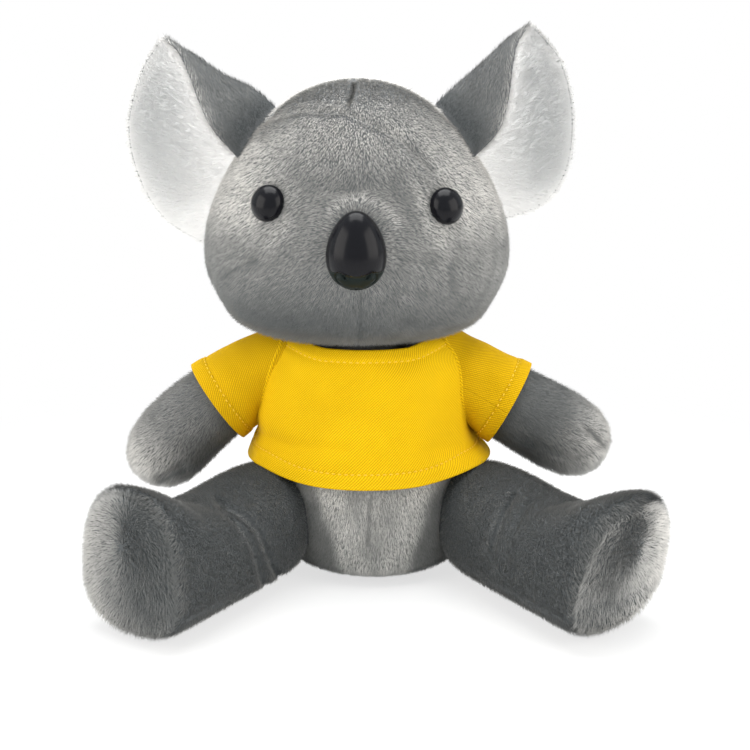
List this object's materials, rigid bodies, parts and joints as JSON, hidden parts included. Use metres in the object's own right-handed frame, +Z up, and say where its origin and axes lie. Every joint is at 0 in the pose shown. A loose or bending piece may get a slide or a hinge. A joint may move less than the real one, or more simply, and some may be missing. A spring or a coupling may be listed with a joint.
{
  "type": "plush toy",
  "caption": "Seated grey plush koala with large cupped ears, black plastic eyes and nose, splayed legs and a short-sleeved knit T-shirt.",
  "frame": {"origin": "middle of the bounding box on the floor that the toy sits on, between the legs and in front of the belly", "axes": "+Z up, -Y the way the toy faces, +X to a viewer's right as the toy is seen from the front"},
  "size_m": [0.1824, 0.1352, 0.1821],
  "materials": {
    "grey_plush": "short-pile plush, brushed",
    "pale_plush": "short-pile plush, brushed",
    "white_plush": "long soft pile",
    "yellow_knit": "knit with a fine diagonal rib, stitched hems",
    "fibre": "loose polyester fibre",
    "black_gloss": "polished",
    "white_plastic": "moulded"
  },
  "bodies": {
    "torso": {"torso_belly_panel": "pale_plush", "torso_back_cover": "grey_plush", "torso_filling": "fibre", "shirt_front": "yellow_knit", "shirt_back": "yellow_knit"},
    "neck": {"neck": "grey_plush"},
    "head": {"head_face_cover": "grey_plush", "head_back_cover": "grey_plush", "head_filling": "fibre", "eye_left": "black_gloss", "eye_right": "black_gloss", "nose": "black_gloss", "eye_left_washer": "white_plastic", "eye_right_washer": "white_plastic", "nose_washer": "white_plastic"},
    "ear_left": {"ear_left_outer": "grey_plush", "ear_left_lining": "white_plush"},
    "ear_right": {"ear_right_outer": "grey_plush", "ear_right_lining": "white_plush"},
    "arm_left": {"arm_left_cover": "grey_plush", "arm_left_filling": "fibre", "shirt_sleeve_left": "yellow_knit"},
    "arm_right": {"arm_right_cover": "grey_plush", "arm_right_filling": "fibre", "shirt_sleeve_right": "yellow_knit"},
    "leg_left": {"leg_left_cover": "grey_plush", "leg_left_sole": "grey_plush", "leg_left_filling": "fibre"},
    "leg_right": {"leg_right_cover": "grey_plush", "leg_right_sole": "grey_plush", "leg_right_filling": "fibre"}
  },
  "joints": [
    {"name": "head_turn", "type": "hinge", "parent": "torso", "child": "neck", "pos_m": [-0.00564, 0.03499, 0.089], "axis": [0, 0, 1], "range_deg": [-25, 25], "stiffness_Nm_per_rad": 0.2},
    {"name": "head_nod", "type": "hinge", "parent": "neck", "child": "head", "pos_m": [-0.00564, 0.03499, 0.089], "axis": [1, 0, 0], "range_deg": [-7, 4], "stiffness_Nm_per_rad": 0.6},
    {"name": "ear_left_fold", "type": "hinge", "parent": "head", "child": "ear_left", "pos_m": [-0.04548, 0.04199, 0.12881], "axis": [0.4471, 0.0263, 0.8941], "range_deg": [-10, 10], "stiffness_Nm_per_rad": 0.03},
    {"name": "ear_right_fold", "type": "hinge", "parent": "head", "child": "ear_right", "pos_m": [0.03284, 0.04199, 0.13441], "axis": [-0.5298, 0.0303, 0.8476], "range_deg": [-10, 10], "stiffness_Nm_per_rad": 0.03},
    {"name": "arm_left_swing", "type": "hinge", "parent": "torso", "child": "arm_left", "pos_m": [-0.03697, 0.03499, 0.0645], "axis": [0, 1, 0], "range_deg": [-6, 35], "stiffness_Nm_per_rad": 0.12, "deforming": ["shirt_sleeve_left"]},
    {"name": "arm_right_swing", "type": "hinge", "parent": "torso", "child": "arm_right", "pos_m": [0.02703, 0.03499, 0.0645], "axis": [0, -1, 0], "range_deg": [-6, 35], "stiffness_Nm_per_rad": 0.12, "deforming": ["shirt_sleeve_right"]},
    {"name": "leg_left_spread", "type": "hinge", "parent": "torso", "child": "leg_left", "pos_m": [-0.02964, 0.03099, 0.0185], "axis": [0, 0, -1], "range_deg": [-2, 18], "stiffness_Nm_per_rad": 0.15},
    {"name": "leg_right_spread", "type": "hinge", "parent": "torso", "child": "leg_right", "pos_m": [0.02936, 0.03099, 0.0185], "axis": [0, 0, 1], "range_deg": [-2, 18], "stiffness_Nm_per_rad": 0.15}
  ]
}
